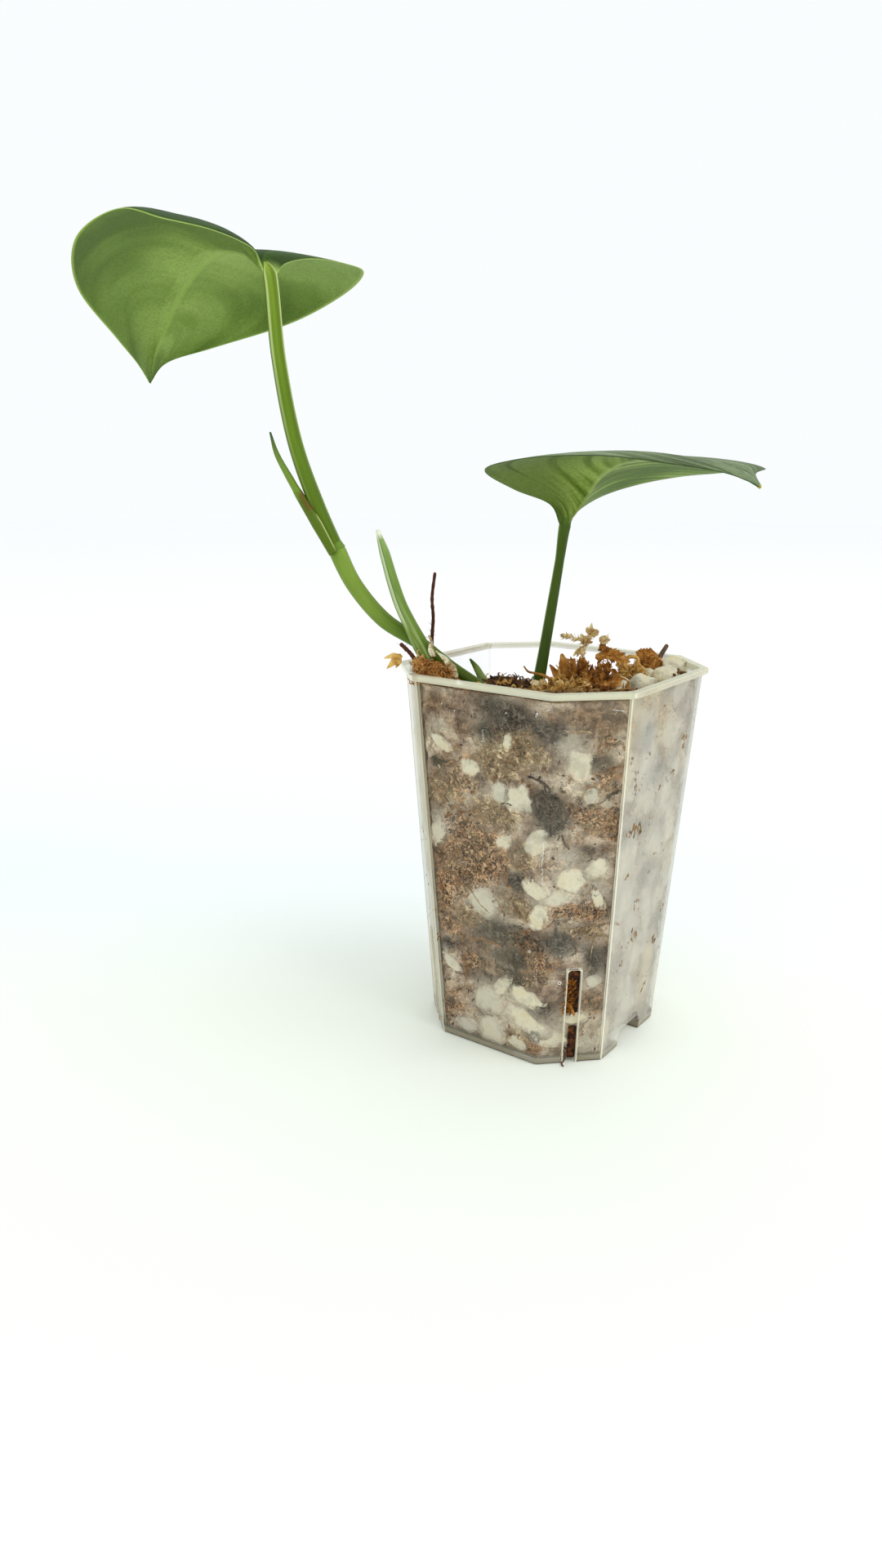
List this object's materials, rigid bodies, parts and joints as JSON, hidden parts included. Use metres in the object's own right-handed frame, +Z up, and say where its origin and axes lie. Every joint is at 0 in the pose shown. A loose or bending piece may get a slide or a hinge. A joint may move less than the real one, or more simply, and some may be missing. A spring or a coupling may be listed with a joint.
{
  "type": "potted moonlight scindapsus",
  "caption": "Young vining houseplant with two heart-shaped leaves on tall stalks, in a clear tapered nursery pot of bark mix, pumice and dried moss.",
  "frame": {"origin": "centre of the pot's foot, on the underside of its floor, where it stands", "axes": "+Z up; the pot's flat sides face -Y, +X, +Y and -X, and its notched sides face +X and -X; the vine leans out over the side between -X and -Y"},
  "size_m": [0.1996, 0.1133, 0.2059],
  "materials": {
    "pot_plastic": "frosted clear polypropylene, satin",
    "potting_mix": "loose bark, coir and moss, matte",
    "pumice": "rough white pumice",
    "green_stalk": "smooth green stalk, satin",
    "green_shoot": "smooth green shoot, satin",
    "dark_petiole": "smooth dark green stalk, satin",
    "leaf_blade": "leaf, satin above and matte below",
    "dried_moss": "dried golden moss",
    "dark_fibre": "dark brown fibre",
    "dead_twig": "dead twig, matte",
    "dry_sheath": "dry papery sheath"
  },
  "bodies": {
    "root": {"dark_mound": "dark_fibre", "dry_sheath": "dry_sheath", "large_leaf": "leaf_blade", "large_petiole": "green_stalk", "main_stem": "green_stalk", "moss_centre": "dried_moss", "moss_far": "dried_moss", "moss_left": "dried_moss", "moss_right": "dried_moss", "moss_tall": "dried_moss", "pot": "pot_plastic", "potting_mix": "potting_mix", "pumice_top_1": "pumice", "pumice_top_2": "pumice", "pumice_top_3": "pumice", "pumice_top_4": "pumice", "pumice_top_5": "pumice", "pumice_top_6": "pumice", "pumice_top_7": "pumice", "pumice_top_8": "pumice", "pumice_wall_1": "pumice", "pumice_wall_10": "pumice", "pumice_wall_11": "pumice", "pumice_wall_12": "pumice", "pumice_wall_13": "pumice", "pumice_wall_14": "pumice", "pumice_wall_15": "pumice", "pumice_wall_16": "pumice", "pumice_wall_17": "pumice", "pumice_wall_18": "pumice", "pumice_wall_19": "pumice", "pumice_wall_2": "pumice", "pumice_wall_20": "pumice", "pumice_wall_21": "pumice", "pumice_wall_22": "pumice", "pumice_wall_23": "pumice", "pumice_wall_24": "pumice", "pumice_wall_25": "pumice", "pumice_wall_26": "pumice", "pumice_wall_27": "pumice", "pumice_wall_28": "pumice", "pumice_wall_3": "pumice", "pumice_wall_4": "pumice", "pumice_wall_5": "pumice", "pumice_wall_6": "pumice", "pumice_wall_7": "pumice", "pumice_wall_8": "pumice", "pumice_wall_9": "pumice", "rolled_leaf": "green_shoot", "root_curl": "dead_twig", "small_leaf": "leaf_blade", "small_petiole": "dark_petiole", "small_shoot": "green_shoot", "stick_right": "dead_twig", "twig_leaning": "dead_twig", "twig_upright": "dead_twig", "upper_shoot": "green_shoot"}
  },
  "joints": []
}
